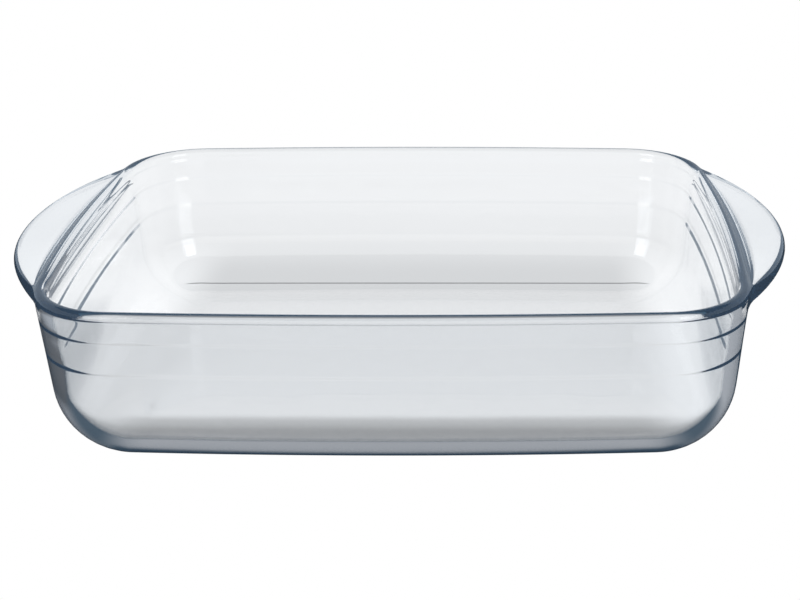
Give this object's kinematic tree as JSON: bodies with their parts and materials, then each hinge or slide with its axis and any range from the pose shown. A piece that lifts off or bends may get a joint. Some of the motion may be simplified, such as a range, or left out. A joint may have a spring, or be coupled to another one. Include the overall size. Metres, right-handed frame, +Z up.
{
  "type": "glass baking dish",
  "caption": "Rectangular baking dish pressed in clear glass, with rounded corners, a rounded rim, shallow ledges round the inside of the wall and a crescent handle at each end.",
  "frame": {"origin": "middle of the flat underside, on the surface that the dish stands on", "axes": "+X along the dish's length, towards one handle; +Y across it; +Z up, out of the open top"},
  "size_m": [0.349, 0.23, 0.0765],
  "materials": {
    "pressed_glass": "clear, fire-polished, with a faint blue-grey body colour in the thick edges"
  },
  "bodies": {
    "root": {"dish": "pressed_glass"}
  },
  "joints": []
}
